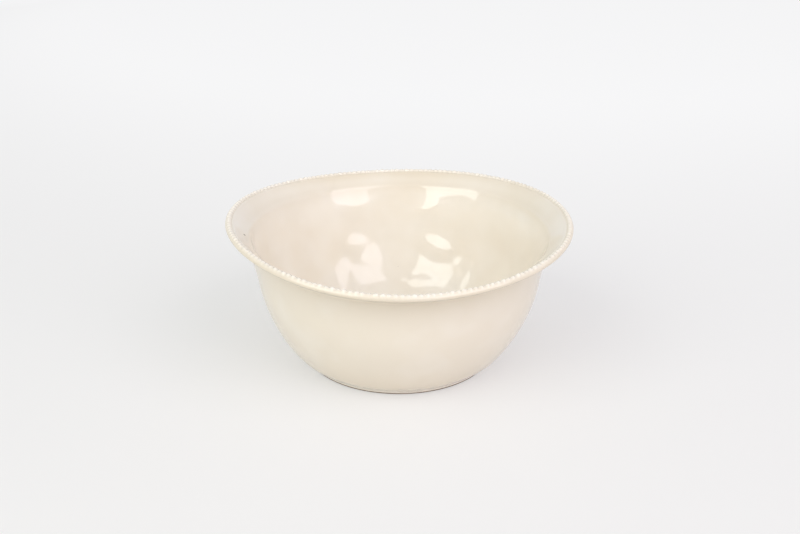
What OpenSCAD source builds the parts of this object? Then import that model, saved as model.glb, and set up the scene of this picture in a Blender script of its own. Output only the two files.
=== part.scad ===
// A hand-made salad bowl in glazed stoneware: a thrown body on a turned foot ring, a flared lip that
// waves round the mouth, a rolled edge and a row of beads pressed along it. All sizes are in
// millimetres, +Z is up, and the origin is on the table at the centre of the foot.

/* [Bowl] */
// Mean outside diameter of the rolled edge
rim_d = 300; // [270:1:330]
// Mean height of the rolled edge's nose above the table
rim_h = 127; // [116:0.5:140]
// Thickness of the thrown wall
wall_t = 6; // [4:0.5:9]
// Thickness of the floor
floor_t = 7; // [5:0.5:12]

/* [Wall] */
// Least lean of the wall, at the waist between belly and flare, in degrees from upright
waist_lean = 9.5; // [5:0.5:13]
// Lean of the wall at the top of the flare
flare_lean = 18; // [15:0.5:24]
// Radius of the flare, at half thickness
flare_r = 244; // [180:1:300]
// Outside radius of the belly's curve
belly_r = 147; // [130:1:165]
// Outside radius of the heel, where the wall turns under to the base
heel_r = 25; // [12:1:34]
// Inside radius of the well, where the wall turns in to the floor
well_r = 45; // [25:1:60]

/* [Foot] */
// Outside diameter of the foot ring
foot_d = 172; // [150:1:185]
// Width of the foot ring
foot_w = 8.5; // [6:0.5:14]
// Height of the base above the table
foot_h = 3.6; // [2.5:0.1:6]
// Rounding of the foot's bottom edges
foot_edge = 1.1; // [0.5:0.1:2]

/* [Lip] */
// Reach of the lip, from the middle of the flare's top to the outside of the rolled edge
lip_reach = 16.8; // [14:0.2:22]
// Slope of the lip, in degrees from level
lip_slope = 46; // [36:1:54]
// Thickness of the lip where it meets the rolled edge
lip_t = 3.4; // [2.6:0.1:5]
// Radius of the bend from the flare to the lip, at half thickness
lip_bend_r = 6; // [4:0.5:12]

/* [Rolled edge] */
// Thickness that the rolled edge has over the lip
roll_extra = 0.4; // [0.2:0.1:2]
// Tilt of the rolled edge's top towards the mouth, in degrees
roll_tilt = 14; // [0:1:25]
// Flat margin on either side of a bead
bead_margin = 0.15; // [0.1:0.05:0.6]

/* [Beads] */
// Diameter of a bead at its seat
bead_d = 4.5; // [3.5:0.1:6]
// Height of a bead above its seat
bead_h = 1.5; // [1:0.1:2.2]
// Least gap between beads at their seats, at the mean diameter
bead_gap = 0.45; // [0.3:0.05:1]

/* [Hand-made waves] */
// Tilt of the rim: the lift at its highest side
tilt_lift = 4.3; // [0:0.1:6]
// Side to which the tilt is highest, in degrees from +X towards +Y
tilt_angle = 103; // [-180:1:180]
// Saddle of the rim: the lift at its two highest sides
saddle_lift = 4.2; // [0:0.1:7]
// Side to which the saddle is highest
saddle_angle = 9; // [-90:1:90]
// Oval of the rim: the added radius at its two widest sides
oval_spread = 3; // [0:0.1:4]
// Side to which the oval is widest
oval_angle = 0; // [-90:1:90]
// Squareness of the rim: the added radius at its four corners
square_spread = 1; // [0:0.1:3]
// Side to which the first of the four corners points
square_angle = -15.5; // [-45:0.5:45]

/* [Hidden] */
$fn = 180;
bead_fn = 32;
glaze = "#ece2d0";
clay = "#c9a98a";
arc_steps = 14;

// The direction at an angle in the profile's plane, as a (radius, height) pair
function unit(a) = [cos(a), sin(a)];

// Points along an arc, both ends included
function arc(c, r, from, to, steps) =
    [for (i = [0 : steps]) c + r * unit(from + (to - from) * i / steps)];

// A rise from 0 to 1 with level ends
function ease(t) = t * t * (3 - 2 * t);

// The rolled edge's thickness and its flat land for the beads, and the seam where the lip ends
roll_t = lip_t + roll_extra;
land_w = bead_d + 2 * bead_margin;
seam = [rim_d / 2 - roll_t / 2, rim_h] - land_w * unit(roll_tilt);

// The corner where the middle of the flare meets the middle of the lip
corner_r = rim_d / 2 - lip_reach;
corner = [corner_r, seam.y - (seam.x - corner_r) * tan(lip_slope)];

// The bend between flare and lip touches both; its angles are those of the inner face's normal
bend_from = 180 - flare_lean;
bend_to = 90 + lip_slope;
bend_run = lip_bend_r * tan((bend_from - bend_to) / 2);
flare_end = corner - bend_run * unit(90 - flare_lean);
bend_c = flare_end - lip_bend_r * unit(bend_from);

// The flare's curve has its centre outside the wall, so its outer face has the smaller radius
flare_c = flare_end - flare_r * unit(bend_from);
flare_out = flare_r - wall_t / 2;
flare_in = flare_r + wall_t / 2;

// Lip and body meet on a level joint where the inner face has its least lean
joint_z = flare_c.y + flare_in * sin(waist_lean);
function at_joint(r) = flare_c + r * unit(180 - asin((joint_z - flare_c.y) / r));

// The belly touches the flare at the waist; heel and well touch the belly from inside
belly_c = flare_c + (flare_out + belly_r) * unit(180 - waist_lean);
belly_in = belly_r - wall_t;
floor_z = foot_h + floor_t;
heel_c = nested_centre(belly_r, heel_r, foot_h);
well_c = nested_centre(belly_in, well_r, floor_z);
heel_angle = atan2(heel_c.y - belly_c.y, heel_c.x - belly_c.x);
well_angle = atan2(well_c.y - belly_c.y, well_c.x - belly_c.x);

// Centre of a curve of radius r that touches the belly's curve from inside and the level z from above
function nested_centre(outer, r, z) =
    [belly_c.x + sqrt(pow(outer - r, 2) - pow(z + r - belly_c.y, 2)), z + r];

// The beads stand side by side round the middle of the land, so their number follows from their size
row_r = seam.x + land_w / 2 * cos(roll_tilt) - roll_t / 2 * sin(roll_tilt);
bead_n = floor(360 / (2 * asin((bead_d + bead_gap) / 2 / row_r)));
ball_r = (bead_d * bead_d / 4 + bead_h * bead_h) / (2 * bead_h);

// How far the wave lifts the rim, and how far it spreads it, at angle a round the bowl
function lift(a) = tilt_lift * cos(a - tilt_angle) + saddle_lift * cos(2 * (a - saddle_angle));
function spread(a) = oval_spread * cos(2 * (a - oval_angle))
    + square_spread * cos(4 * (a - square_angle));
function wave(a) = [spread(a), lift(a)];

// A profile's point p at angle a round the bowl
function turned(p, a) = [p.x * cos(a), p.x * sin(a), p.y];

// Stations up the lip's middle, each a point and the angle of its inner face's normal
joint_mid = (at_joint(flare_out) + at_joint(flare_in)) / 2;
skirt_from = 180 - asin((joint_z - flare_c.y) / flare_r);
bend_stop = corner + bend_run * unit(lip_slope);
stations = concat(
    [[joint_mid, skirt_from]],
    [for (i = [1 : 4]) let (a = skirt_from + (bend_from - skirt_from) * i / 5)
        [flare_c + flare_r * unit(a), a]],
    [for (i = [0 : 3]) let (a = bend_from + (bend_to - bend_from) * i / 3)
        [bend_c + lip_bend_r * unit(a), a]],
    [[(bend_stop + seam) / 2, bend_to], [seam, 90 + roll_tilt]]
);
last = len(stations) - 1;

// Distance up the lip's middle to station i, its share of the whole, and the share of the wave there
function run(i) = i == 0 ? 0 : run(i - 1) + norm(stations[i][0] - stations[i - 1][0]);
runs = [for (i = [0 : last]) run(i) / run(last)];
shares = [for (t = runs) ease(pow(t, 1.7))];

// How far the wave swings the lip's end, and the rolled edge with it, from its mean slope
function swing(a) =
    let (d = seam - stations[last - 1][0] + (1 - shares[last - 1]) * wave(a))
    atan2(d.y, d.x) - lip_slope;

// A point of the rolled edge at angle a, by its distance out over the land and up from the middle
function on_roll(out, up, a) =
    let (tilt = roll_tilt + swing(a))
    turned(seam + wave(a) + out * unit(tilt) + up * unit(90 + tilt), a);

// A point on the lip's inner face (side 1) or outer face (side -1); the joint itself is level
function lip_face(i, side, a) = i == last
    ? on_roll(0, side * lip_t / 2, a)
    : turned(
        shares[i] * wave(a) + (i == 0
            ? at_joint(flare_r + side * wall_t / 2)
            : stations[i][0] + side * (wall_t + (lip_t - wall_t) * runs[i]) / 2 * unit(stations[i][1])),
        a);

// The lip's section at angle a: up its outer face and down its inner face
function lip_section(a) = concat(
    [for (i = [0 : last]) lip_face(i, -1, a)],
    [for (i = [last : -1 : 0]) lip_face(i, 1, a)]
);

// The rolled edge's section: the seam with the lip, the land for the beads and the round nose
function roll_section(a) = concat(
    [for (up = [-roll_t, -lip_t, lip_t, roll_t]) on_roll(0, up / 2, a)],
    [for (i = [0 : 6]) on_roll(land_w + roll_t / 2 * sin(30 * i), roll_t / 2 * cos(30 * i), a)]
);

// Angle before bead i; each bead stands midway between two such angles
function before(i) = 360 * i / bead_n;

// A closed ring through one section before every bead; a section runs anticlockwise, seen from -Y
module ring(sections) {
    n = len(sections);
    m = len(sections[0]);
    polyhedron(
        points = [for (s = sections) each s],
        faces = [for (i = [0 : n - 1]) for (j = [0 : m - 1])
            [i * m + j, ((i + 1) % n) * m + j, ((i + 1) % n) * m + (j + 1) % m, i * m + (j + 1) % m]],
        convexity = 8
    );
}

// The body's outer profile, from the base's edge up to the joint
outside = concat(
    arc(heel_c, heel_r, -90, heel_angle, arc_steps),
    arc(belly_c, belly_r, heel_angle, -waist_lean, arc_steps),
    [at_joint(flare_out)]
);

// The outside of the body as a solid, before it is hollowed
module body_blank() {
    rotate_extrude()
        polygon(concat([[0, joint_z], [0, foot_h]], outside));
}

// The thrown body: floor, well and belly, up to the level joint at the waist
module bowl_body() {
    color(glaze)
        rotate_extrude()
            polygon(concat(
                [[0, floor_z], [0, foot_h]],
                outside,
                arc(belly_c, belly_in, -waist_lean, well_angle, arc_steps),
                arc(well_c, well_r, well_angle, -90, arc_steps)
            ));
}

// The turned foot: a ring with eased edges whose top follows the underside of the body
module foot_ring() {
    outer = foot_d / 2;
    inner = outer - foot_w;
    color(clay)
        difference() {
            rotate_extrude()
                polygon(concat(
                    [[inner, foot_h + heel_r]],
                    arc([inner + foot_edge, foot_edge], foot_edge, 180, 270, 6),
                    arc([outer - foot_edge, foot_edge], foot_edge, 270, 360, 6),
                    [[outer, foot_h + heel_r]]
                ));
            body_blank();
        }
}

// The flared lip: the flare above the waist, the bend at its top and the sloping lip, taking up the wave
module flared_lip() {
    color(glaze)
        ring([for (i = [0 : bead_n - 1]) lip_section(before(i))]);
}

// The rolled edge: it carries the wave and gives every bead its own flat seat
module rolled_edge() {
    color(glaze)
        ring([for (i = [0 : bead_n - 1]) roll_section(before(i))]);
}

// One bead, a cap of a ball with its flat side down
module bead() {
    intersection() {
        translate([0, 0, bead_h - ball_r])
            sphere(ball_r, $fn = bead_fn);
        cylinder(h = 2 * bead_h, d = bead_d + 1, $fn = bead_fn);
    }
}

// The beads, each square to its own seat on the rolled edge's land
module rim_beads() {
    color(glaze)
        for (i = [0 : bead_n - 1]) {
            seat = [for (a = [before(i), before(i + 1)], out = [0, land_w]) on_roll(out, roll_t / 2, a)];
            along = seat[2] + seat[3] - seat[0] - seat[1];
            across = seat[1] + seat[3] - seat[0] - seat[2];
            up = cross(across, along);
            z = up / norm(up);
            x = across / norm(across);
            y = cross(z, x);
            p = (seat[0] + seat[1] + seat[2] + seat[3]) / 4;
            multmatrix([[x.x, y.x, z.x, p.x], [x.y, y.y, z.y, p.y], [x.z, y.z, z.z, p.z]])
                bead();
        }
}

bowl_body();
foot_ring();
flared_lip();
rolled_edge();
rim_beads();
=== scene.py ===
"""A hand-made salad bowl in cream glaze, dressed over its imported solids.

It is lit as in a plain product photograph. +Z is up, the camera looks along +Y, and a bearing round the bowl
runs from +X towards +Y. Angles are in degrees. Lengths of the bowl and of the finishes are in millimetres
until a mesh or a node takes them, and those of the studio's floor, lamps and camera are in metres.
"""
import logging
import math
from dataclasses import dataclass
from enum import Enum
from functools import cached_property
from typing import Any

import bpy
import numpy as np
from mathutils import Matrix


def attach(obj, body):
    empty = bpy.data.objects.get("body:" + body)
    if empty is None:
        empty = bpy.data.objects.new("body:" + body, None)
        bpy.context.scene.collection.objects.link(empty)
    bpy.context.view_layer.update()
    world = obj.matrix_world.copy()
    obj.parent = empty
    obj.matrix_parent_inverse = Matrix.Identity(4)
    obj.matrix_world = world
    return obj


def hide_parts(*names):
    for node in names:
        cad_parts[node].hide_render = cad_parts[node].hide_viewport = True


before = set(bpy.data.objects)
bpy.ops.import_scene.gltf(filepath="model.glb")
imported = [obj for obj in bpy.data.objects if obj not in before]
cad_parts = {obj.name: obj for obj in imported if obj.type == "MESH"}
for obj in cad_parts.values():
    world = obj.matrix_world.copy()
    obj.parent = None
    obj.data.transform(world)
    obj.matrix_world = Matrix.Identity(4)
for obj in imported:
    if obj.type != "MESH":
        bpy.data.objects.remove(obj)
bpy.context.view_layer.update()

LOG = logging.getLogger("salad_bowl")
MM = 0.001
# Most values of a noise texture lie between these two
NOISE_LOW = 0.3
NOISE_HIGH = 0.7


def linear(code: str) -> tuple[float, float, float, float]:
    """Turns an sRGB hex colour into linear red, green, blue and a full alpha, by the two-part sRGB curve.

    Args:
        code: six hex digits after a hash sign.

    Returns:
        The colour as Blender's sockets take it.
    """
    parts = [int(code[i:i + 2], 16) / 255 for i in (1, 3, 5)]
    red, green, blue = [p / 12.92 if p <= 0.04045 else ((p + 0.055) / 1.055) ** 2.4 for p in parts]
    return red, green, blue, 1.0


def blank_material(name: str) -> tuple[bpy.types.Material, bpy.types.NodeTree]:
    """Makes a material with an empty node tree.

    Args:
        name: the material's name.

    Returns:
        The material and its tree.
    """
    material = bpy.data.materials.new(name)
    material.use_nodes = True
    material.node_tree.nodes.clear()
    return material, material.node_tree


def add_node(tree: bpy.types.NodeTree, kind: str, inputs: dict[str | int, Any] | None = None,
             **settings: Any) -> bpy.types.Node:
    """Adds a node, sets its properties, and sets or links its inputs.

    Args:
        tree: the node tree that takes the node.
        kind: Blender's name for the node's type.
        inputs: a value or an output socket for each input, by its name or number.
        settings: values of the node's own properties.

    Returns:
        The new node.
    """
    node = tree.nodes.new(kind)
    for name, value in settings.items():
        setattr(node, name, value)
    for name, value in (inputs or {}).items():
        if isinstance(value, bpy.types.NodeSocket):
            tree.links.new(value, node.inputs[name])
        else:
            node.inputs[name].default_value = value
    return node


def seen_rays(tree: bpy.types.NodeTree) -> bpy.types.NodeSocket:
    """Tells the rays that show a surface from those that carry soft light.

    Args:
        tree: the node tree that takes the test.

    Returns:
        A socket that is 1 for camera, glossy and transmission rays, and 0 for the others.
    """
    path = add_node(tree, "ShaderNodeLightPath")
    seen = add_node(tree, "ShaderNodeMath", {
        0: path.outputs["Is Camera Ray"], 1: path.outputs["Is Glossy Ray"]}, operation="MAXIMUM")
    shown = add_node(tree, "ShaderNodeMath", {
        0: seen.outputs["Value"], 1: path.outputs["Is Transmission Ray"]}, operation="MAXIMUM")
    return shown.outputs["Value"]


def per_mm(size: float) -> float:
    """Scale of a pattern whose features are `size` millimetres across, for Object coordinates in metres."""
    return 1 / (size * MM)


def unit(angle: np.ndarray | float) -> np.ndarray:
    """Direction at an angle in degrees, as (radius, height) on a new last axis."""
    turn = np.radians(angle)
    return np.stack((np.cos(turn), np.sin(turn)), axis=-1)


def ease(share: np.ndarray) -> np.ndarray:
    """A rise from 0 to 1 with level ends: three times the share squared, less twice its cube."""
    share = np.clip(share, 0, 1)
    return share * share * (3 - 2 * share)


def arc(centre: np.ndarray, radius: float, start: float, stop: float, count: int) -> np.ndarray:
    """Points along an arc, both ends included, as an array of (radius, height)."""
    return centre + radius * unit(np.linspace(start, stop, count))


def level_run(start: float, stop: float, height: float, count: int) -> np.ndarray:
    """Points along a level line, both ends included, as an array of (radius, height)."""
    return np.stack((np.linspace(start, stop, count), np.full(count, height)), axis=-1)


def even_bearings(count: int) -> np.ndarray:
    """Bearings at even steps round the bowl, from 0."""
    return np.arange(count) * 360 / count


def all_round(section: np.ndarray, columns: int) -> np.ndarray:
    """One (radius, height) section repeated at each column round the bowl."""
    return np.tile(section[:, None], (1, columns, 1))


def revolved(section: np.ndarray, bearings: np.ndarray) -> np.ndarray:
    """Carries (radius, height) rows round the bowl.

    x is the radius times the cosine of the bearing, and y is the radius times its sine.

    Args:
        section: rows by bearings by (radius, height).
        bearings: one bearing in degrees for each column.

    Returns:
        Rows by bearings by (x, y, z).
    """
    turn = np.radians(bearings)
    radius, height = section[..., 0], section[..., 1]
    return np.stack((radius * np.cos(turn), radius * np.sin(turn), height), axis=-1)


class Ends(Enum):
    """How the rows of a surface end: joined into a ring, or each drawn to a point on the axis."""

    RING = "ring"
    POLES = "poles"


def make_surface(name: str, grid: np.ndarray, ends: Ends) -> bpy.types.Object:
    """Makes a closed, smooth object from a grid whose columns run round the bowl.

    A face joins four neighbours in the grid: (row, column), (row, column + 1), (row + 1, column + 1) and
    (row + 1, column), counted round the bowl, so it faces outwards where rows climb the outside. Poles take
    triangles.

    Args:
        name: the object's name.
        grid: rows by columns by (x, y, z) in millimetres.
        ends: whether the last row joins the first, or the first and last rows are single points.

    Returns:
        The object, linked to the scene.
    """
    rows, columns = grid.shape[:2]
    corner = np.arange(rows * columns).reshape(rows, columns)
    ahead = np.roll(corner, -1, axis=1)
    if ends is Ends.RING:
        above, above_ahead = np.roll(corner, -1, axis=0), np.roll(ahead, -1, axis=0)
        faces = np.stack((corner, ahead, above_ahead, above), axis=-1).reshape(-1, 4).tolist()
        points = grid.reshape(-1, 3)
    else:
        corner, ahead = corner[1:-1] - columns, ahead[1:-1] - columns
        faces = np.stack((corner[:-1], ahead[:-1], ahead[1:], corner[1:]), axis=-1).reshape(-1, 4).tolist()
        first, last = (rows - 2) * columns, (rows - 2) * columns + 1
        faces += np.stack((np.full(columns, first), ahead[0], corner[0]), axis=-1).tolist()
        faces += np.stack((np.full(columns, last), corner[-1], ahead[-1]), axis=-1).tolist()
        points = np.concatenate((grid[1:-1].reshape(-1, 3), grid[:1, 0], grid[-1:, 0]))
    mesh = bpy.data.meshes.new(name)
    mesh.from_pydata((points * MM).tolist(), [], faces)
    mesh.shade_smooth()
    piece = bpy.data.objects.new(name, mesh)
    bpy.context.scene.collection.objects.link(piece)
    return piece


def add_weight(piece: bpy.types.Object, name: str, values: np.ndarray) -> None:
    """Stores one number for each point of a piece, for its material to read.

    Args:
        piece: an object made by make_surface.
        name: the attribute's name.
        values: one number for each of the mesh's points, in its order.
    """
    weight = piece.data.attributes.new(name, "FLOAT", "POINT")
    weight.data.foreach_set("value", values.astype(np.float32).ravel())


@dataclass(frozen=True)
class Wave:
    """The hand-made wave of the rim: a tilt and a saddle lift it, an oval and a squareness spread it."""

    tilt_lift: float = 4.3
    tilt_bearing: float = 103.0
    saddle_lift: float = 4.2
    saddle_bearing: float = 9.0
    oval_spread: float = 3.0
    oval_bearing: float = 0.0
    square_spread: float = 1.0
    square_bearing: float = -15.5

    def at(self, bearings: np.ndarray) -> np.ndarray:
        """Spread and lift at each bearing: sums of one, two and four cosine waves round the bowl.

        Args:
            bearings: bearings in degrees.

        Returns:
            (spread, lift) on a new last axis.
        """
        turn = np.radians(bearings)
        tilt, saddle, oval, square = np.radians(
            (self.tilt_bearing, self.saddle_bearing, self.oval_bearing, self.square_bearing))
        lift = self.tilt_lift * np.cos(turn - tilt) + self.saddle_lift * np.cos(2 * (turn - saddle))
        spread = (self.oval_spread * np.cos(2 * (turn - oval))
                  + self.square_spread * np.cos(4 * (turn - square)))
        return np.stack((spread, lift), axis=-1)


@dataclass(frozen=True)
class BowlForm:
    """Sizes of the bowl's section, the same as the solids', and the curves that follow from them.

    The lip takes up the wave by the power `wave_power` of the way along it, eased at both ends. Two values
    are the looks' own: the lip's glaze laps over the rolled edge's land by `lap`, and `swing_steps` are the
    points on the flare, the bend and the slope from which the rolled edge's swing is worked out.
    """

    rim_d: float = 300.0
    rim_h: float = 127.0
    wall_t: float = 6.0
    floor_t: float = 7.0
    waist_lean: float = 9.5
    flare_lean: float = 18.0
    flare_r: float = 244.0
    belly_r: float = 147.0
    heel_r: float = 25.0
    well_r: float = 45.0
    foot_h: float = 3.6
    lip_reach: float = 16.8
    lip_slope: float = 46.0
    lip_t: float = 3.4
    lip_bend_r: float = 6.0
    roll_t: float = 3.8
    roll_tilt: float = 14.0
    land_w: float = 4.8
    wave: Wave = Wave()
    wave_power: float = 1.7
    lap: float = 1.2
    swing_steps: tuple[int, int, int] = (24, 8, 9)

    @cached_property
    def seam(self) -> np.ndarray:
        """Middle of the lip's end, where the rolled edge begins."""
        return np.array((self.rim_d / 2 - self.roll_t / 2, self.rim_h)) - self.land_w * unit(self.roll_tilt)

    @cached_property
    def corner(self) -> np.ndarray:
        """Where the middle of the flare would meet the middle of the sloping lip.

        Returns:
            The point as (radius, height).
        """
        radius = self.rim_d / 2 - self.lip_reach
        drop = (self.seam[0] - radius) * math.tan(math.radians(self.lip_slope))
        return np.array((radius, self.seam[1] - drop))

    @property
    def bend_from(self) -> float:
        """Angle of the inner face's normal at the top of the flare."""
        return 180 - self.flare_lean

    @property
    def bend_to(self) -> float:
        """Angle of the inner face's normal on the sloping lip."""
        return 90 + self.lip_slope

    @cached_property
    def bend_run(self) -> float:
        """Distance from the corner to either end of the bend."""
        return self.lip_bend_r * math.tan(math.radians((self.bend_from - self.bend_to) / 2))

    @cached_property
    def bend_end(self) -> np.ndarray:
        """Top of the bend's middle, where the straight slope begins."""
        return self.corner + self.bend_run * unit(self.lip_slope)

    @cached_property
    def flare_end(self) -> np.ndarray:
        """Top of the flare's middle, where the bend begins."""
        return self.corner - self.bend_run * unit(90 - self.flare_lean)

    @cached_property
    def flare_centre(self) -> np.ndarray:
        """Centre of the flare's curve, outside the wall."""
        return self.flare_end - self.flare_r * unit(self.bend_from)

    @cached_property
    def belly_centre(self) -> np.ndarray:
        """Centre of the belly's curve, which touches the flare at the waist."""
        apart = self.flare_r - self.wall_t / 2 + self.belly_r
        return self.flare_centre + apart * unit(180 - self.waist_lean)

    @property
    def belly_in(self) -> float:
        """Radius of the belly's inner face."""
        return self.belly_r - self.wall_t

    @property
    def floor_z(self) -> float:
        """Height of the floor inside."""
        return self.foot_h + self.floor_t

    def nested_centre(self, outer: float, radius: float, level: float) -> np.ndarray:
        """Centre of a curve that touches the belly's curve from inside and a level from above.

        Args:
            outer: radius of the belly's curve.
            radius: radius of the curve inside it.
            level: height of the level.

        Returns:
            The centre as (radius, height).
        """
        drop = level + radius - self.belly_centre[1]
        out = math.sqrt((outer - radius) ** 2 - drop ** 2)
        return np.array((self.belly_centre[0] + out, level + radius))

    def angle_from_belly(self, point: np.ndarray) -> float:
        """Angle at which a point of the section lies from the belly's centre."""
        return math.degrees(math.atan2(*(point - self.belly_centre)[::-1]))

    def lip_path(self, flare: int, bend: int, slope: int) -> tuple[np.ndarray, np.ndarray]:
        """The lip's middle from the waist to the seam: the flare's arc, the bend's arc and a straight slope.

        Args:
            flare: points on the flare.
            bend: points on the bend.
            slope: points on the slope.

        Returns:
            Points as (radius, height), and the angle of the inner face's normal at each.
        """
        bend_centre = self.flare_end - self.lip_bend_r * unit(self.bend_from)
        on_flare = np.linspace(180 - self.waist_lean, self.bend_from, flare)[:-1]
        on_bend = np.linspace(self.bend_from, self.bend_to, bend)[:-1]
        along = np.linspace(0, 1, slope)[:, None]
        points = np.concatenate((self.flare_centre + self.flare_r * unit(on_flare),
                                 bend_centre + self.lip_bend_r * unit(on_bend),
                                 self.bend_end + along * (self.seam - self.bend_end)))
        return points, np.concatenate((on_flare, on_bend, np.full(slope, self.bend_to)))

    def lip_shares(self, points: np.ndarray) -> tuple[np.ndarray, np.ndarray]:
        """How far along the lip each point is, and how much of the wave it takes: an eased power of the way.

        Args:
            points: points of the lip's middle from the waist to the seam.

        Returns:
            The way and the share of the wave, both from 0 to 1.
        """
        steps = np.linalg.norm(np.diff(points, axis=0), axis=1)
        runs = np.concatenate(((0,), np.cumsum(steps))) / steps.sum()
        return runs, ease(runs ** self.wave_power)

    def roll_angle(self, bearings: np.ndarray) -> np.ndarray:
        """Tilt of the rolled edge: its mean tilt, and the swing that the wave gives the slope's upper half.

        Args:
            bearings: bearings in degrees.

        Returns:
            One angle in degrees for each bearing.
        """
        middle = (self.bend_end + self.seam) / 2
        points, _ = self.lip_path(*self.swing_steps)
        share = np.interp(middle[0], points[:, 0], self.lip_shares(points)[1])
        reach = self.seam - middle + (1 - share) * self.wave.at(bearings)
        return self.roll_tilt + np.degrees(np.arctan2(reach[..., 1], reach[..., 0])) - self.lip_slope

    def on_roll(self, out: np.ndarray, up: np.ndarray, bearings: np.ndarray) -> np.ndarray:
        """A point of the rolled edge: the waved seam, `out` along its tilted land and `up` square to it.

        Args:
            out: distances over the land, rows by bearings.
            up: distances up from the middle, rows by bearings.
            bearings: one bearing for each column.

        Returns:
            Rows by bearings by (radius, height).
        """
        tilt = self.roll_angle(bearings)
        return (self.seam + self.wave.at(bearings) + out[..., None] * unit(tilt)
                + up[..., None] * unit(90 + tilt))


class Face(Enum):
    """The two faces of the wall, by the side of its middle on which they lie."""

    OUTER = -1
    INNER = 1


@dataclass(frozen=True)
class Dent:
    """A soft press of the maker's hand in one face: a bell-shaped hollow, or a swelling.

    A swelling has a negative depth. The middle is at a bearing and a distance up the face from the level
    floor or base. The two widths, across and up the wall, are turned by some degrees in the face.
    """

    face: Face
    bearing: float
    up: float
    across: float
    tall: float
    turn: float
    depth: float

    def hollow(self, bearings: np.ndarray, radii: np.ndarray, ups: np.ndarray) -> np.ndarray:
        """Depth of the dent: a bell curve in the turned distances round the bowl and up the wall.

        Args:
            bearings: one bearing for each column.
            radii: each point's distance from the axis, rows by bearings.
            ups: each point's distance up the face, rows by bearings.

        Returns:
            Rows by bearings.
        """
        round_bowl = radii * np.radians((bearings - self.bearing + 180) % 360 - 180)
        down_wall = self.up - ups
        cosine, sine = math.cos(math.radians(self.turn)), math.sin(math.radians(self.turn))
        first = (cosine * round_bowl + sine * down_wall) / self.across
        second = (cosine * down_wall - sine * round_bowl) / self.tall
        return self.depth * np.exp(-(first ** 2 + second ** 2) / 2)


# The maker's presses inside, set against the reflections: bearing, up, across, tall, turn and depth
INNER_DENTS = tuple(Dent(Face.INNER, *row) for row in (
    # Along the shoulder
    (27, 135, 24, 6, 0, 1.6),
    (60, 136, 12, 6, 0, -0.3),
    (113, 136, 12, 5, 0, -0.3),
    (119, 142, 5, 18, -15, 0.5),
    (150, 137, 20, 5, 0, -1.0),
    (188, 137, 40, 5, 0, -1.2),
    # Below the upper reflections
    (72, 130, 18, 5, 5, -0.6),
    (83, 131, 6, 13, 20, -0.6),
    (95, 133, 16, 10, 15, -1.1),
    (127, 131, 18, 12, -25, -1.1),
    # Between the upper and the lower reflections
    (75, 115, 8, 15, -45, -1.1),
    (113, 115, 18, 9, 5, -1.1),
    (117, 105, 7, 15, 50, 0.8),
    # Across the lower reflections
    (65, 63, 12, 6, 30, 0.8),
    (69, 72, 18, 8, -25, -1.4),
    (107, 60, 10, 7, 0, -0.8),
    (112, 76, 11, 9, 0, -1.1),
    (116, 60, 7, 14, 35, 0.8),
    # In the well
    (53, 47, 8, 18, -15, -1.1),
    (72, 48, 10, 4, -10, 0.9),
    (79, 37, 8, 5, 10, -0.9),
    (82, 43, 18, 8, 5, -1.1),
    (82, 48, 4, 7, -15, 0.8),
    (111, 36, 4, 7, 30, 0.7),
    (120, 48, 5, 16, -20, -0.9),
    (131, 39, 16, 8, -10, -1.0)))

# The gentler unevenness of the outside, in the same order
OUTER_DENTS = tuple(Dent(Face.OUTER, *row) for row in (
    (262, 74, 26, 14, 10, -0.45),
    (284, 70, 22, 13, -12, -0.40),
    (272, 48, 30, 12, 0, 0.45),
    (236, 66, 24, 20, 20, 0.40),
    (300, 50, 22, 16, -15, 0.40),
    (205, 80, 26, 18, 0, 0.35),
    (335, 84, 26, 18, 0, -0.35)))


@dataclass(frozen=True)
class Pinhole:
    """A pinhole in the glaze: where it is, how wide, and how much of the dark body shows in it.

    It is evenly dark over `core`, a share of its width, and fades from there to its edge.
    """

    place: tuple[float, float, float]
    width: float
    share: float
    core: float = 0.5


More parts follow.
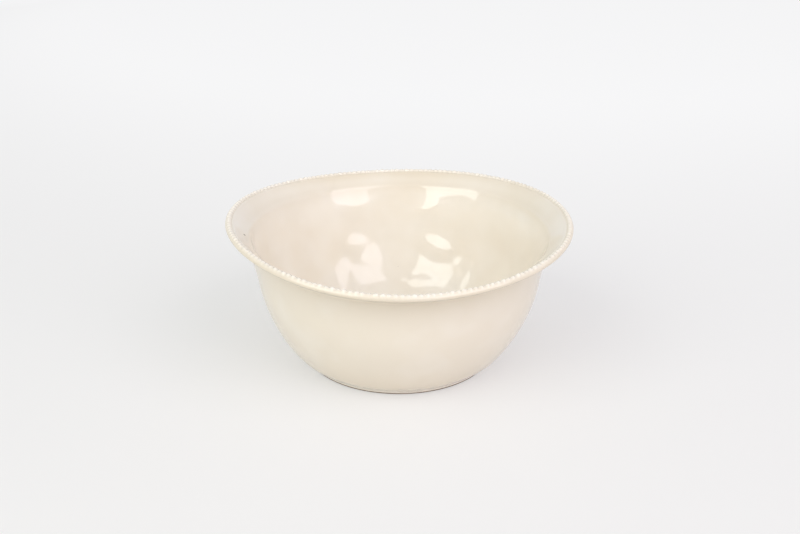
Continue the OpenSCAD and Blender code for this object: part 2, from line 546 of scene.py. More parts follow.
@dataclass(frozen=True)
class Glaze:
    """Cream tin glaze on stoneware, dipped and fired glossy.

    It is smooth and hard, so the eye sees sharp softbox reflections. It is whiter where it lies thicker,
    inside, and warmer where it is thin. The beads are painted whiter, a painted highlight, and painted shade
    darkens it between the beads, in the grooves by the rolled edge, over the nose, on the back lip, under the
    shoulder, under the front lip and towards the foot. It has a few pinholes.
    """

    name: str = "cream_tin_glaze_on_stoneware"
    # Whitest tone; on the beads it makes a painted highlight
    thick_glaze_and_highlight: str = "#F4EEE4"
    thin: str = "#EBE1D0"
    # Tone of the painted shade
    painted_shade_colour: str = "#CDBB9C"
    pinhole: str = "#4A3D33"
    smoothest: float = 0.03
    roughest: float = 0.08
    ior: float = 1.75
    drift_mm: float = 46.0
    drift_detail: float = 2.0
    drift_share: float = 0.3
    peel_mm: float = 7.0
    peel_detail: float = 1.0
    peel_depth_mm: float = 0.008
    pinholes: tuple[Pinhole, ...] = (
        Pinhole((-134.5, -24.4, 123.7), 3.0, 1.0),
        Pinhole((-1.1, 107.1, 37.7), 0.8, 0.45),
        Pinhole((14.7, 132.5, 120.6), 0.8, 0.3),
        Pinhole((96.5, 65.3, 59.8), 0.6, 0.15))

    def material(self) -> bpy.types.Material:
        """Builds the material: cream by the glaze's thickness with a painted highlight, painted shade,
        pinholes and faint orange peel.

        Returns:
            The new material.
        """
        material, tree = blank_material(self.name)
        place = add_node(tree, "ShaderNodeTexCoord").outputs["Object"]
        drift = add_node(tree, "ShaderNodeTexNoise", {
            "Vector": place, "Scale": per_mm(self.drift_mm), "Detail": self.drift_detail}).outputs["Fac"]
        uneven = add_node(tree, "ShaderNodeMapRange", {
            "Value": drift, "From Min": NOISE_LOW, "From Max": NOISE_HIGH,
            "To Min": -self.drift_share, "To Max": self.drift_share})
        # The glaze's thickness, with the beads' painted highlight and the lip's painted light and shade
        laid = add_node(tree, "ShaderNodeAttribute", attribute_name="thick_glaze_and_highlight")
        thickness = add_node(tree, "ShaderNodeMath", {
            0: laid.outputs["Fac"], 1: uneven.outputs["Result"]}, operation="ADD", use_clamp=True)
        cream = add_node(tree, "ShaderNodeMix", {
            "Factor": thickness.outputs["Value"], "A": linear(self.thin), "B": linear(self.thick_glaze_and_highlight)},
            data_type="RGBA")
        # Painted shade darkens the cream by this weight
        painted_shade = add_node(tree, "ShaderNodeAttribute", attribute_name="painted_shade")
        colour = add_node(tree, "ShaderNodeMix", {
            "Factor": painted_shade.outputs["Fac"], "A": cream.outputs["Result"], "B": linear(self.painted_shade_colour)},
            data_type="RGBA")
        for spot in self.pinholes:
            radius = spot.width * MM / 2
            away = add_node(tree, "ShaderNodeVectorMath", {
                0: place, 1: tuple(c * MM for c in spot.place)}, operation="DISTANCE")
            hole = add_node(tree, "ShaderNodeMapRange", {
                "Value": away.outputs["Value"], "From Min": spot.core * radius, "From Max": radius,
                "To Min": spot.share, "To Max": 0.0}, interpolation_type="SMOOTHSTEP")
            colour = add_node(tree, "ShaderNodeMix", {
                "Factor": hole.outputs["Result"], "A": colour.outputs["Result"], "B": linear(self.pinhole)},
                data_type="RGBA")
        gloss = add_node(tree, "ShaderNodeMapRange", {
            "Value": drift, "From Min": NOISE_LOW, "From Max": NOISE_HIGH,
            "To Min": self.smoothest, "To Max": self.roughest})
        peel = add_node(tree, "ShaderNodeTexNoise", {
            "Vector": place, "Scale": per_mm(self.peel_mm), "Detail": self.peel_detail})
        bump = add_node(tree, "ShaderNodeBump", {
            "Height": peel.outputs["Fac"], "Strength": 1.0, "Distance": self.peel_depth_mm * MM})
        shader = add_node(tree, "ShaderNodeBsdfPrincipled", {
            "Base Color": colour.outputs["Result"], "Roughness": gloss.outputs["Result"], "IOR": self.ior,
            "Normal": bump.outputs["Normal"]})
        add_node(tree, "ShaderNodeOutputMaterial", {"Surface": shader.outputs["BSDF"]})
        return material


@dataclass(frozen=True)
class WipedFoot:
    """Stoneware foot, glazed down its side and wiped bare where it stands.

    The eye sees smooth cream above a brown, matt, gritty edge. Low on the side the glaze is painted whiter,
    painted light against the shade under the heel.
    """

    name: str = "stoneware_with_wiped_foot"
    # Its tone matches the painted shade low on the shell
    glaze: str = "#E2D7C6"
    # Painted light: whiter low on the side, against the shade under the heel
    painted_shading: str = "#FCF5E9"
    clay: str = "#94785C"
    grit: str = "#745C47"
    glaze_roughness: float = 0.12
    clay_roughness: float = 0.85
    # The bare band shows the clay's own colour; it reaches high enough to draw the dark line at the stand,
    # partly painted contact shadow
    wiped_to: float = 1.3
    wiped_edge: float = 0.1
    ragged: float = 0.2
    ragged_mm: float = 5.0
    ragged_detail: float = 2.0
    painted_light_from: float = 4.0
    painted_light_to: float = 8.5
    grit_mm: float = 0.9
    grit_detail: float = 3.0
    grit_depth_mm: float = 0.15

    def material(self) -> bpy.types.Material:
        """Builds the material: clay below a ragged line near the table, and glaze above it, painted whiter
        low on the side.

        Returns:
            The new material.
        """
        material, tree = blank_material(self.name)
        place = add_node(tree, "ShaderNodeTexCoord").outputs["Object"]
        height = add_node(tree, "ShaderNodeSeparateXYZ", {"Vector": place}).outputs["Z"]
        rag = add_node(tree, "ShaderNodeTexNoise", {
            "Vector": place, "Scale": per_mm(self.ragged_mm), "Detail": self.ragged_detail})
        edge = add_node(tree, "ShaderNodeMath", {
            0: rag.outputs["Fac"], 1: self.ragged * MM, 2: height}, operation="MULTIPLY_ADD")
        glazed = add_node(tree, "ShaderNodeMapRange", {
            "Value": edge.outputs["Value"], "From Min": self.wiped_to * MM,
            "From Max": (self.wiped_to + self.wiped_edge) * MM}, interpolation_type="SMOOTHSTEP")
        grit = add_node(tree, "ShaderNodeTexNoise", {
            "Vector": place, "Scale": per_mm(self.grit_mm), "Detail": self.grit_detail})
        bare = add_node(tree, "ShaderNodeMix", {
            "Factor": grit.outputs["Fac"], "A": linear(self.clay), "B": linear(self.grit)},
            data_type="RGBA")
        # Painted light, fading upwards from low on the side
        painted_light_fade = add_node(tree, "ShaderNodeMapRange", {
            "Value": height, "From Min": self.painted_light_from * MM, "From Max": self.painted_light_to * MM})
        cream = add_node(tree, "ShaderNodeMix", {
            "Factor": painted_light_fade.outputs["Result"], "A": linear(self.painted_shading), "B": linear(self.glaze)},
            data_type="RGBA")
        colour = add_node(tree, "ShaderNodeMix", {
            "Factor": glazed.outputs["Result"], "A": bare.outputs["Result"], "B": cream.outputs["Result"]},
            data_type="RGBA")
        gloss = add_node(tree, "ShaderNodeMapRange", {
            "Value": glazed.outputs["Result"],
            "To Min": self.clay_roughness, "To Max": self.glaze_roughness})
        unglazed = add_node(tree, "ShaderNodeMath", {
            0: 1.0, 1: glazed.outputs["Result"]}, operation="SUBTRACT")
        bump = add_node(tree, "ShaderNodeBump", {
            "Height": grit.outputs["Fac"], "Strength": unglazed.outputs["Value"],
            "Distance": self.grit_depth_mm * MM})
        shader = add_node(tree, "ShaderNodeBsdfPrincipled", {
            "Base Color": colour.outputs["Result"], "Roughness": gloss.outputs["Result"],
            "Normal": bump.outputs["Normal"]})
        add_node(tree, "ShaderNodeOutputMaterial", {"Surface": shader.outputs["BSDF"]})
        return material


@dataclass(frozen=True)
class PaperSweep:
    """Matt white paper sweep: a pale ground, painted brightest behind the bowl, with soft shadows.

    The camera and reflections see the paper mixed with a painted glow, which doesn't light the bowl.
    """

    name: str = "matt_white_paper_sweep"
    paper: str = "#E8E7E6"
    glow: str = "#FDFDFE"
    # The painted glow's share of what the camera sees: least near the bowl, most behind it and far off
    least_glow: float = 0.165
    most_glow: float = 0.853
    glow_at: tuple[float, float, float] = (280.0, 2170.0, 0.0)
    glow_from: float = 1130.0
    glow_to: float = 2850.0
    far_from: float = 1200.0
    far_to: float = 2600.0

    def material(self) -> bpy.types.Material:
        """Builds the material: matt paper, and a painted glow that fades away from a point behind the bowl.

        Far from the bowl the painted glow rises again, so the ground ends pale on every side.

        Returns:
            The new material.
        """
        material, tree = blank_material(self.name)
        paper = add_node(tree, "ShaderNodeBsdfDiffuse", {"Color": linear(self.paper)})
        glow = add_node(tree, "ShaderNodeEmission", {"Color": linear(self.glow), "Strength": 1.0})
        place = add_node(tree, "ShaderNodeTexCoord").outputs["Object"]
        away = add_node(tree, "ShaderNodeVectorMath", {
            0: place, 1: tuple(c * MM for c in self.glow_at)}, operation="DISTANCE")
        fade = add_node(tree, "ShaderNodeMapRange", {
            "Value": away.outputs["Value"], "From Min": self.glow_from * MM, "From Max": self.glow_to * MM,
            "To Min": self.most_glow, "To Max": self.least_glow}, interpolation_type="SMOOTHSTEP")
        apart = add_node(tree, "ShaderNodeVectorMath", {0: place}, operation="LENGTH")
        far = add_node(tree, "ShaderNodeMapRange", {
            "Value": apart.outputs["Value"], "From Min": self.far_from * MM, "From Max": self.far_to * MM,
            "To Min": self.least_glow, "To Max": self.most_glow}, interpolation_type="SMOOTHSTEP")
        glowing = add_node(tree, "ShaderNodeMath", {
            0: fade.outputs["Result"], 1: far.outputs["Result"]}, operation="MAXIMUM")
        share = add_node(tree, "ShaderNodeMath", {
            0: seen_rays(tree), 1: glowing.outputs["Value"]}, operation="MULTIPLY")
        sweep = add_node(tree, "ShaderNodeMixShader", {
            0: share.outputs["Value"], 1: paper.outputs["BSDF"], 2: glow.outputs["Emission"]})
        add_node(tree, "ShaderNodeOutputMaterial", {"Surface": sweep.outputs["Shader"]})
        return material


@dataclass(frozen=True)
class FaceRows:
    """How many rows each curve of one face takes, from the belly up to the lip's end."""

    belly: int
    flare: int
    bend: int
    slope: int


# Rows past the seam: outside, one tucked into the rolled edge; inside, two that lap over its land and sink in
TUCKED_ROWS = 1
LAPPED_ROWS = 2


@dataclass
class GlazedShell:
    """The thrown bowl from the base to the end of its lip, as one glazed skin with the maker's dents."""

    form: BowlForm
    dents: tuple[Dent, ...] = INNER_DENTS + OUTER_DENTS
    columns: int = 480
    base_rows: int = 5
    heel_rows: int = 8
    well_rows: int = 22
    floor_rows: int = 6
    outer_rows: FaceRows = FaceRows(belly=18, flare=10, bend=6, slope=8)
    inner_rows: FaceRows = FaceRows(belly=48, flare=32, bend=22, slope=9)
    tuck: float = 1.0
    lap_h: float = 0.08
    eased_mm: float = 9.0
    inner_thick: float = 0.6
    # The lip's glaze is whiter; with the back lip's painted shade its sides are painted lighter
    lip_thick: float = 1.0
    # Painted shade on the back lip: the glaze is drawn thinner and darker towards this bearing
    back_lip_painted_thinning: float = 1.0
    painted_shade_bearing: float = 90.0
    back_lip_painted_shade: float = 0.28
    # Painted shadow under the front lip, opposite the back lip's bearing
    under_lip_painted_shadow: float = 0.45
    under_lip_shadow_mm: float = 20.0
    # Painted shade on the outside, darker towards the foot
    heel_painted_shade: float = 0.28
    heel_shade_mm: float = 24.0
    # Painted shade in the groove by the rolled edge
    groove_painted_shade: float = 0.12
    groove_mm: float = 0.8
    # Painted shade under the shoulder, strongest towards the back
    shoulder_painted_shade: float = 0.28
    shoulder_shade_at: float = 15.5
    shoulder_shade_above: float = 6.5
    shoulder_shade_below: float = 8.0

    def lip_face(self, face: Face, bearings: np.ndarray) -> np.ndarray:
        """One face of the lip from the waist to the seam.

        A point is the lip's waved middle, plus or minus half of the tapering thickness along the normal. The
        normal turns over the upper half of the slope to stand square to the rolled edge's land.

        Args:
            face: which face.
            bearings: one bearing for each column.

        Returns:
            Rows by bearings by (radius, height).
        """
        form = self.form
        count = self.outer_rows if face is Face.OUTER else self.inner_rows
        points, normals = form.lip_path(count.flare, count.bend, count.slope)
        runs, shares = form.lip_shares(points)
        slope = np.linspace(0, 1, count.slope)
        turned = np.concatenate((np.zeros(len(runs) - count.slope), ease(2 * slope - 1)))[:, None]
        angle = normals[:, None] + turned * (90 + form.roll_angle(bearings) - normals[:, None])
        half = (form.wall_t + (form.lip_t - form.wall_t) * runs) / 2
        return (points[:, None] + shares[:, None, None] * form.wave.at(bearings)
                + face.value * half[:, None, None] * unit(angle))

    def lip_end(self, out: float, up: float, bearings: np.ndarray) -> np.ndarray:
        """One row at the lip's end, by its place on the rolled edge's section."""
        level = np.zeros((1, len(bearings)))
        return self.form.on_roll(level + out, level + up, bearings)

    def outside(self, bearings: np.ndarray) -> np.ndarray:
        """Rows of the outer face: the level base from its pole, the heel, the belly, the lip and its tuck.

        Args:
            bearings: one bearing for each column.

        Returns:
            Rows by bearings by (radius, height).
        """
        form = self.form
        heel = form.nested_centre(form.belly_r, form.heel_r, form.foot_h)
        heel_angle = form.angle_from_belly(heel)
        under = np.concatenate((
            level_run(0, heel[0], form.foot_h, self.base_rows)[:-1],
            arc(heel, form.heel_r, -90, heel_angle, self.heel_rows)[:-1],
            arc(form.belly_centre, form.belly_r, heel_angle, -form.waist_lean, self.outer_rows.belly)[:-1]))
        return np.concatenate((
            all_round(under, len(bearings)),
            self.lip_face(Face.OUTER, bearings),
            self.lip_end(self.tuck, -self.tuck, bearings)))

    def inside(self, bearings: np.ndarray) -> np.ndarray:
        """Rows of the inner face: the lip from its lap, the belly, the well and the floor to its pole.

        Args:
            bearings: one bearing for each column.

        Returns:
            Rows by bearings by (radius, height).
        """
        form = self.form
        well = form.nested_centre(form.belly_in, form.well_r, form.floor_z)
        well_angle = form.angle_from_belly(well)
        down = np.concatenate((
            arc(form.belly_centre, form.belly_in, -form.waist_lean, well_angle, self.inner_rows.belly)[1:],
            arc(well, form.well_r, well_angle, -90, self.well_rows)[1:],
            level_run(well[0], 0, form.floor_z, self.floor_rows)[1:]))
        return np.concatenate((
            self.lip_end(form.lap + self.tuck, self.tuck, bearings),
            self.lip_end(form.lap, form.roll_t / 2 + self.lap_h, bearings),
            self.lip_face(Face.INNER, bearings)[::-1],
            all_round(down, len(bearings))))

    def pressed(self, rows: np.ndarray, face: Face, bearings: np.ndarray) -> np.ndarray:
        """Presses the dents into one face, each point moving against its normal in the section's plane.

        The normal is the section's own tangent, turned a quarter turn. A point's distance up the face is the
        length of the section between it and the row where the level floor or base ends. The dents ease away
        over the last few millimetres below the seam, so the glaze still meets the rolled edge.

        Args:
            rows: rows by bearings by (radius, height).
            face: the face that they are on.
            bearings: one bearing for each column.

        Returns:
            The pressed rows.
        """
        tangent = np.gradient(rows, axis=0)
        tangent /= np.linalg.norm(tangent, axis=-1, keepdims=True)
        normal = np.stack((tangent[..., 1], -tangent[..., 0]), axis=-1)
        steps = np.linalg.norm(np.diff(rows, axis=0), axis=-1)
        along = np.concatenate((np.zeros((1, len(bearings))), np.cumsum(steps, axis=0)))
        level = self.base_rows - 1 if face is Face.OUTER else len(rows) - self.floor_rows
        seam = len(rows) - 1 - TUCKED_ROWS if face is Face.OUTER else LAPPED_ROWS
        ups = np.abs(along - along[level])
        below_seam = face.value * (along - along[seam])
        depth = sum((dent.hollow(bearings, rows[..., 0], ups) for dent in self.dents if dent.face is face),
                    np.zeros(rows.shape[:2]))
        return rows - (depth * ease(below_seam / self.eased_mm))[..., None] * normal

    def weights(self, outside: np.ndarray, inside: np.ndarray,
                bearings: np.ndarray) -> tuple[np.ndarray, np.ndarray]:
        """How much glaze lies on each point, and how far painted shade darkens it.

        Inside, the lip's glaze is thicker, but thins towards the back lip by the square of half of one plus
        the cosine of the angle from that bearing, and painted shade darkens it there: the back lip is painted
        darker and the side lips lighter. Painted shade lies under the shoulder by a bell curve, wider below
        the shoulder than above and strongest towards the back, and in the groove by the rolled edge. Outside,
        a painted shadow lies under the front lip, opposite that bearing, by the same square, and painted
        shade darkens the wall down to the foot by half of a bell curve.

        Args:
            outside: rows of the outer face by bearings by (radius, height).
            inside: rows of the inner face in the same form.
            bearings: one bearing for each column.

        Returns:
            Thickness, and painted shade, each rows by bearings over both faces.
        """
        below = np.linalg.norm(inside - inside[LAPPED_ROWS - 1], axis=-1)
        near_lip = np.exp(-(below / (self.form.lip_reach / 2)) ** 2)
        cosine = np.cos(np.radians(bearings - self.painted_shade_bearing))
        towards, opposite = (1 + cosine) / 2, (1 - cosine) / 2
        # Painted shade on the back lip, painted light on its sides
        lip_thick = self.lip_thick - self.back_lip_painted_thinning * towards ** 2
        thick_glaze_and_highlight = self.inner_thick + (lip_thick - self.inner_thick) * near_lip
        # Painted shade under the shoulder by a bell curve
        past = below - self.shoulder_shade_at
        under_shoulder = np.exp(-(past / np.where(past < 0, self.shoulder_shade_above, self.shoulder_shade_below)) ** 2)
        # Painted shade in the groove by the rolled edge
        groove = self.groove_painted_shade * np.exp(-(below / self.groove_mm) ** 2)
        # Painted shade on the back lip and under the shoulder
        back_lip_and_shoulder_shade = self.back_lip_painted_shade * towards ** 2 * near_lip + self.shoulder_painted_shade * towards * under_shoulder
        under = np.linalg.norm(outside - outside[-1], axis=-1)
        above_foot = outside[..., 1] - self.form.foot_h
        # Painted shadow under the front lip
        painted_shading = self.under_lip_painted_shadow * opposite ** 2 * np.exp(-(under / self.under_lip_shadow_mm) ** 2)
        # Painted shade, darker towards the foot
        heel = self.heel_painted_shade * np.exp(-(above_foot / self.heel_shade_mm) ** 2)
        return (np.concatenate((np.zeros(under.shape), thick_glaze_and_highlight)),
                np.concatenate((painted_shading + heel, np.maximum(groove, back_lip_and_shoulder_shade))))

    def build(self) -> bpy.types.Object:
        """Makes the skin's mesh with its weights, and hides the two solids that it stands for.

        Returns:
            The skin, linked to the scene.
        """
        bearings = even_bearings(self.columns)
        outside = self.pressed(self.outside(bearings), Face.OUTER, bearings)
        inside = self.pressed(self.inside(bearings), Face.INNER, bearings)
        grid = revolved(np.concatenate((outside, inside)), bearings)
        piece = make_surface("glazed_shell", grid, Ends.POLES)
        for name, weight in zip(("thick_glaze_and_highlight", "painted_shade"), self.weights(outside, inside, bearings)):
            add_weight(piece, name, np.concatenate((weight[1:-1].ravel(), weight[0, :1], weight[-1, :1])))
        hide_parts("bowl_body", "flared_lip")
        return piece

    def dress(self, piece: bpy.types.Object, glaze: bpy.types.Material) -> None:
        """Gives the skin its glaze and sets it on the bowl's body.

        Args:
            piece: the skin.
            glaze: its material.
        """
        piece.data.materials.append(glaze)
        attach(piece, "root")


@dataclass
class BeadedEdge:
    """The rolled edge with its row of pressed beads, as one ring under glaze that fills between them."""

    form: BowlForm
    beads: int = 184
    bead_d: float = 4.5
    bead_h: float = 1.6
    lean_out: float = 1.4
    ridge_h: float = 0.75
    melt: float = 5.0
    droop: float = 1.3
    per_bead: int = 8
    land_rows: int = 8
    nose_rows: int = 9
    under_rows: int = 3
    root: float = 0.8
    root_half: float = 1.2
    uneven_size: float = 0.11
    uneven_place: float = 0.32
    seed: int = 7
    nose_thick: float = 0.0
    # The beads are painted whiter by their rise, a painted highlight
    bead_painted_highlight: float = 1.0
    # Painted shade between the beads
    valley_painted_shade: float = 0.08
    # Painted shade in the groove at the lip's end
    groove_painted_shade: float = 0.12
    # Painted shade over the nose
    nose_painted_shade: float = 0.3

    def outline(self) -> tuple[np.ndarray, np.ndarray, np.ndarray]:
        """The plain section of the roll: a root sunk in the lip's end, the under side, the nose, the land.

        The under side and the land ease from the root to the roll's full thickness. The glaze hangs a little,
        so the lower half is the thicker one.

        Returns:
            Points as (out over the land, up from the middle), anticlockwise as seen from -Y; the angle of the
            normal at each; and each point's distance over the section from the lip's end, by way of the land.
        """
        half, land = self.form.roll_t / 2, self.form.land_w
        nose = np.linspace(-90, 90, self.nose_rows + 2)[1:-1]
        under = np.linspace(-self.root, land, self.under_rows)
        top = np.linspace(land, -self.root, self.land_rows)
        out = np.concatenate((under, land + half * np.cos(np.radians(nose)), top))
        swell = self.root_half + (half - self.root_half) * ease((out + self.root) / (2 * self.root))
        nose_up = half * np.sin(np.radians(nose))
        up = np.concatenate((-swell[:self.under_rows], nose_up, swell[-self.land_rows:]))
        up = np.where(up < 0, self.droop * up, up)
        normal = np.concatenate((np.full(self.under_rows, -90), nose, np.full(self.land_rows, 90)))
        round_nose = half * np.radians(90 - normal)
        over = np.concatenate((2 * land - under, np.full(self.nose_rows, land), top)) + round_nose
        return np.stack((out, up), axis=-1), normal, over

    def rise(self, over: np.ndarray, along: np.ndarray, size: np.ndarray) -> np.ndarray:
        """How far beads and glaze stand over the roll.

        A bead is a cap of a ball: the square root of the ball's radius squared less the distance from the
        bead's middle squared, less the depth of the ball's centre. The glaze between the beads is a lower
        ridge of the same section. The two melt together as the logarithm of the sum of their exponentials.

        Args:
            over: distance of each row over the section from the lip's end.
            along: distance of each column from its bead's middle.
            size: size of each column's bead, about 1.

        Returns:
            Rows by columns.
        """
        ball = (self.bead_d ** 2 / 4 + self.bead_h ** 2) / (2 * self.bead_h)
        across = over[:, None] - self.form.land_w / 2 - self.lean_out
        sunk = ball - self.bead_h
        cap = np.sqrt(np.maximum(ball ** 2 - np.hypot(along / size, across) ** 2, 0)) - sunk
        ridge = np.sqrt(np.maximum(ball ** 2 - across ** 2, 0)) - sunk - (self.bead_h - self.ridge_h)
        melted = np.logaddexp(self.melt * cap * size, self.melt * ridge) / self.melt
        return np.maximum(melted, 0)

    def weights(self, over: np.ndarray, rise: np.ndarray) -> tuple[np.ndarray, np.ndarray]:
        """How much glaze lies on each point with the beads' painted highlight, and how far painted shade
        darkens it.

        It is whiter on the beads by their rise, a painted highlight. Painted shade darkens it between them by
        the fall from their crest, in the groove at the lip's end by a bell curve, and over the nose by an
        eased rise.

        Args:
            over: distance of each row over the section from the lip's end.
            rise: how far beads and glaze stand over the roll, rows by columns.

        Returns:
            Thickness and deepening, each rows by columns.
        """
        form = self.form
        on_bead = np.clip(rise / self.bead_h, 0, 1)
        crest = self.rise(over, np.zeros(1), np.ones(1))
        valley = np.clip((crest - rise) / self.bead_h, 0, 1)
        groove = np.exp(-((over - form.lap) / self.root) ** 2)[:, None]
        on_nose = ease((over - form.land_w) / form.roll_t)[:, None]
        # Painted shade in the valleys, the groove and over the nose
        painted_shade = np.maximum.reduce(np.broadcast_arrays(
            self.valley_painted_shade * valley, self.groove_painted_shade * groove, self.nose_painted_shade * on_nose))
        return self.nose_thick + (self.bead_painted_highlight - self.nose_thick) * on_bead, painted_shade

    def build(self) -> bpy.types.Object:
        """Makes the ring's mesh with its weights, and beads that differ a little from one to the next.

        Returns:
            The ring, linked to the scene.
        """
        form = self.form
        random = np.random.default_rng(self.seed)
        size = np.repeat(random.normal(1, self.uneven_size, self.beads), self.per_bead)
        shift = np.repeat(random.normal(0, self.uneven_place, self.beads), self.per_bead)
        bearings = even_bearings(self.beads * self.per_bead)
        pitch = 2 * math.pi * (form.seam[0] + form.land_w / 2) / self.beads
        along = np.tile((np.arange(self.per_bead) / self.per_bead - 1 / 2) * pitch, self.beads) - shift
        section, normal, over = self.outline()
        rise = self.rise(over, along, size)
        raised = section[:, None] + rise[..., None] * unit(normal)[:, None]
        rows = form.on_roll(raised[..., 0], raised[..., 1], bearings)
        piece = make_surface("beaded_edge", revolved(rows, bearings), Ends.RING)
        for name, weight in zip(("thick_glaze_and_highlight", "painted_shade"), self.weights(over, rise)):
            add_weight(piece, name, weight)
        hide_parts("rolled_edge", "rim_beads")
        return piece

    def dress(self, piece: bpy.types.Object, glaze: bpy.types.Material) -> None:
        """Gives the edge its glaze and sets it on the bowl's body.

        Args:
            piece: the ring.
            glaze: its material.
        """
        piece.data.materials.append(glaze)
        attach(piece, "root")


@dataclass
class FootRing:
    """The turned foot that the bowl stands on, its top tucked into the base."""

    form: BowlForm
    outer_d: float = 172.0
    width: float = 8.5
    edge_r: float = 1.1
    columns: int = 360
    edge_rows: int = 7
    fillet_out: float = 7.0
    fillet_down: float = 1.6
    fillet_rows: int = 11
    run_on: float = 1.0
    tuck: float = 0.4

    @cached_property
    def heel(self) -> np.ndarray:
        """Centre of the heel's curve."""
        return self.form.nested_centre(self.form.belly_r, self.form.heel_r, self.form.foot_h)

    def base_at(self, radius: float) -> float:
        """Height of the bowl's underside at a radius: the heel's arc, or the level base inside it."""
        beyond = max(radius - self.heel[0], 0)
        return self.heel[1] - math.sqrt(self.form.heel_r ** 2 - beyond ** 2)

    def fillet(self) -> np.ndarray:
        """Glaze that fills the corner under the heel, from the foot's side to the heel.

        It is a curve of the second degree that touches the foot's upright side and the heel. Its last point
        runs on inside the heel, so no edge shows where they meet.

        Returns:
            Points as (radius, height).
        """
        outer = self.outer_d / 2
        spread = outer + self.fillet_out
        top = self.heel[1] - self.base_at(spread)
        corner = self.base_at(spread) - self.fillet_out * (spread - self.heel[0]) / top
        share = np.linspace(0, 1, self.fillet_rows)[:, None]
        curve = ((1 - share) ** 2 * (outer, corner - self.fillet_down)
                 + 2 * share * (1 - share) * np.array((outer, corner))
                 + share ** 2 * (spread, self.base_at(spread)))
        inside = spread + self.run_on
        return np.concatenate((curve, ((inside, self.base_at(inside) + self.tuck),)))

    def build(self) -> bpy.types.Object:
        """Makes the ring: a level stand, two rounded edges, two sides and the fillet, carried round the axis.

        Returns:
            The ring, linked to the scene.
        """
        outer = self.outer_d / 2
        inner = outer - self.width
        top_in = self.base_at(inner) + self.tuck
        section = np.concatenate((
            ((inner, top_in), (inner, (top_in + self.edge_r) / 2)),
            arc(np.array((inner + self.edge_r, self.edge_r)), self.edge_r, 180, 270, self.edge_rows),
            arc(np.array((outer - self.edge_r, self.edge_r)), self.edge_r, 270, 360, self.edge_rows),
            self.fillet()))
        rows = all_round(section, self.columns)
        piece = make_surface("wiped_foot_ring", revolved(rows, even_bearings(self.columns)), Ends.RING)
        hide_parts("foot_ring")
        return piece

    def dress(self, piece: bpy.types.Object, finish: bpy.types.Material) -> None:
        """Gives the foot its wiped finish and sets it on the bowl's body.

        Args:
            piece: the ring.
            finish: its material.
        """
        piece.data.materials.append(finish)
        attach(piece, "root")


@dataclass(frozen=True)
class Softbox:
    """A large soft lamp that looks at the bowl, by its bearing from the camera's side and its height angle.

    Behind it stands a lamp of the same size whose light the glaze doesn't mirror, as from a dimmer sheet in
    front of a bright one, so the bowl is lit more than its highlights are bright.
    """

    name: str
    bearing: float
    elevation: float
    distance: float
    width: float
    height: float
    mirrored: float
    fill: float
    colour: str
    fill_gap: float = 0.01

    def build(self, target: tuple[float, float, float]) -> None:
        """Makes the two lamps. Their power is brightness times pi times area, so 1 in all is a white sheet.

        Args:
            target: the point that they face, in metres.
        """
        bearing, rise = math.radians(self.bearing), math.radians(self.elevation)
        level = math.cos(rise)
        away = np.array((math.sin(bearing) * level, -math.cos(bearing) * level, math.sin(rise)))
        for index, brightness in enumerate((self.mirrored, self.fill)):
            name = f"{self.name}_{index}"
            lamp = bpy.data.lights.new(name, "AREA")
            lamp.shape = "RECTANGLE"
            lamp.size, lamp.size_y = self.width, self.height
            lamp.energy = brightness * math.pi * lamp.size * lamp.size_y
            lamp.color = linear(self.colour)[:3]
            stand = bpy.data.objects.new(name, lamp)
            stand.location = np.array(target) + (self.distance + self.fill_gap * index) * away
            stand.rotation_euler = (math.pi / 2 - rise, 0, bearing)
            stand.visible_camera = False
            stand.visible_glossy = index == 0
            bpy.context.scene.collection.objects.link(stand)


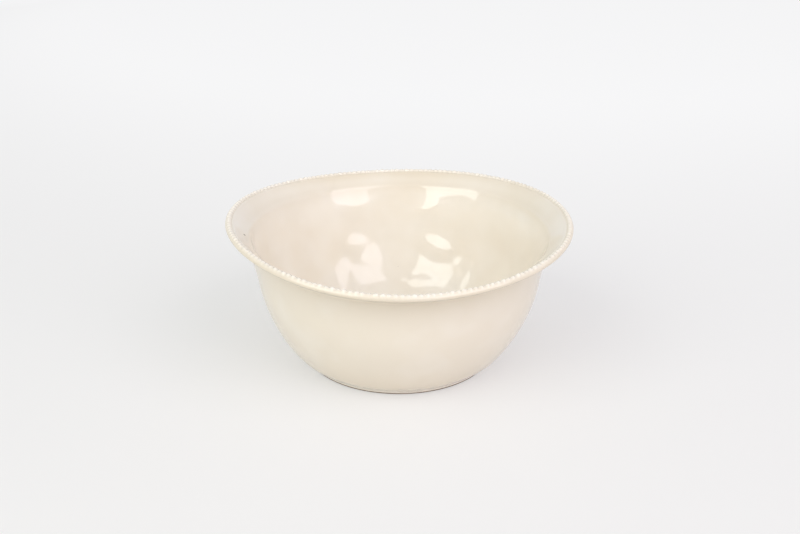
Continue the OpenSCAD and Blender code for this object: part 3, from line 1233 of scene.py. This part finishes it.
@dataclass
class Studio:
    """The paper sweep, the two softboxes, the pale surround and the camera of the product photograph.

    The camera's lens and sensor are in millimetres.
    """

    camera_at: tuple[float, float, float] = (0.00095, -0.8272, 0.4365)
    camera_elevation: float = 23.15
    lens: float = 44.5
    sensor: float = 36.0
    clip_near: float = 0.01
    clip_far: float = 100.0
    sweep: float = 40.0
    lit_point: tuple[float, float, float] = (0.0, 0.11, 0.075)
    horizon: float = 0.28
    zenith: float = 0.62
    seen_horizon: float = 0.97
    seen_zenith: float = 0.5
    skimming_bounces: int = 24
    surround: str = "#FFFFFF"
    softboxes: tuple[Softbox, ...] = (
        Softbox("softbox_left", bearing=-44, elevation=33.5, distance=2.4, width=1.84, height=2.4,
                mirrored=1.95, fill=0.24, colour="#FAFFF9"),
        Softbox("softbox_right", bearing=44, elevation=33.5, distance=2.4, width=1.84, height=2.4,
                mirrored=1.53, fill=0.62, colour="#FCF5FE"))

    def build(self) -> None:
        """Sets the floor, the world, the lamps and the camera."""
        self.build_floor()
        self.build_world()
        for softbox in self.softboxes:
            softbox.build(self.lit_point)
        self.build_camera()

    def build_floor(self) -> None:
        """Lays the sweep, one flat square at the table's height."""
        half = self.sweep / 2
        corners = [(-half, -half, 0), (half, -half, 0), (half, half, 0), (-half, half, 0)]
        mesh = bpy.data.meshes.new("paper_sweep")
        mesh.from_pydata(corners, [], [(0, 1, 2, 3)])
        floor = bpy.data.objects.new("paper_sweep", mesh)
        floor.data.materials.append(PaperSweep().material())
        bpy.context.scene.collection.objects.link(floor)

    def build_world(self) -> None:
        """Surrounds the bowl with soft light that grows to the zenith; camera and reflections see it pale."""
        world = bpy.data.worlds.new("pale_studio")
        bpy.context.scene.world = world
        world.use_nodes = True
        tree = world.node_tree
        tree.nodes.clear()
        sky = add_node(tree, "ShaderNodeTexCoord").outputs["Generated"]
        rise = add_node(tree, "ShaderNodeSeparateXYZ", {"Vector": sky}).outputs["Z"]
        soft = add_node(tree, "ShaderNodeMapRange", {
            "Value": rise, "To Min": self.horizon, "To Max": self.zenith})
        pale = add_node(tree, "ShaderNodeMapRange", {
            "Value": rise, "To Min": self.seen_horizon, "To Max": self.seen_zenith})
        strength = add_node(tree, "ShaderNodeMix", {
            "Factor": seen_rays(tree), "A": soft.outputs["Result"], "B": pale.outputs["Result"]})
        back = add_node(tree, "ShaderNodeBackground", {
            "Color": linear(self.surround), "Strength": strength.outputs["Result"]})
        add_node(tree, "ShaderNodeOutputWorld", {"Surface": back.outputs["Background"]})

    def build_camera(self) -> None:
        """Sets up the camera, plain colours, and enough bounces for the bowl's inside."""
        camera = bpy.data.cameras.new("product_camera")
        camera.lens, camera.sensor_width = self.lens, self.sensor
        camera.clip_start, camera.clip_end = self.clip_near, self.clip_far
        stand = bpy.data.objects.new("product_camera", camera)
        stand.location = self.camera_at
        stand.rotation_euler = (math.radians(90 - self.camera_elevation), 0, 0)
        bpy.context.scene.collection.objects.link(stand)
        bpy.context.scene.camera = stand
        bpy.context.scene.view_settings.view_transform = "Standard"
        # A ray that skims the round inner wall is mirrored many times before it leaves the bowl
        bpy.context.scene.cycles.max_bounces = self.skimming_bounces
        bpy.context.scene.cycles.glossy_bounces = self.skimming_bounces


def main() -> None:
    """Builds the bowl piece by piece, dresses it, and sets the studio round it."""
    logging.basicConfig(level=logging.INFO, format="%(name)s: %(message)s")
    Studio().build()
    form = BowlForm()
    glaze = Glaze().material()
    parts = (
        (GlazedShell(form), glaze),
        (BeadedEdge(form), glaze),
        (FootRing(form), WipedFoot().material()))
    for part, finish in parts:
        piece = part.build()
        part.dress(piece, finish)
        LOG.info("%s: %d points, %d faces", piece.name, len(piece.data.vertices), len(piece.data.polygons))


if __name__ == "__main__":
    main()
